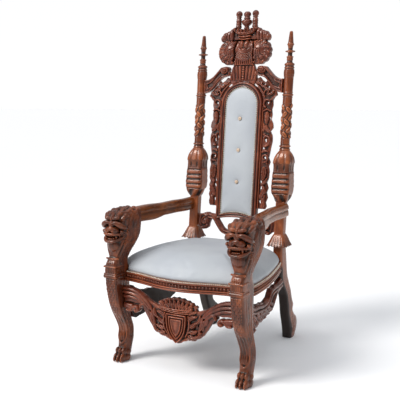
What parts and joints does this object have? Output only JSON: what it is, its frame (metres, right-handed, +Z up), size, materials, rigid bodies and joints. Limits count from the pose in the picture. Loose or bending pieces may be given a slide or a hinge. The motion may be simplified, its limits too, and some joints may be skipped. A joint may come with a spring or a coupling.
{
  "type": "throne",
  "caption": "High-backed carved wooden throne with lion-headed front legs, turned back posts, a pierced crest and aprons, and a padded seat and back panel.",
  "frame": {"origin": "on the floor, in the middle of the chair's footprint box", "axes": "+Z up; the sitter faces -Y; +X is to the sitter's left hand"},
  "size_m": [0.7858, 0.9324, 1.8],
  "materials": {
    "wood": "stained and waxed mahogany, rubbed lighter on the high carving",
    "upholstery": "smooth pale grey covering",
    "button": "covered button, tan"
  },
  "bodies": {
    "root": {"front_leg_left": "wood", "front_leg_right": "wood", "back_post_left": "wood", "back_post_right": "wood", "arm_left": "wood", "arm_right": "wood", "seat_rail_front": "wood", "seat_rail_side_left": "wood", "seat_rail_side_right": "wood", "seat_rail_back": "wood", "seat_pad": "upholstery", "back_frame": "wood", "back_pad": "upholstery", "back_button_1": "button", "back_button_2": "button", "back_button_3": "button", "side_carving_left": "wood", "side_carving_right": "wood", "top_rail_left": "wood", "top_rail_right": "wood", "crest": "wood", "lower_back_rail": "wood", "front_apron": "wood", "side_apron_left": "wood", "side_apron_right": "wood"}
  },
  "joints": []
}
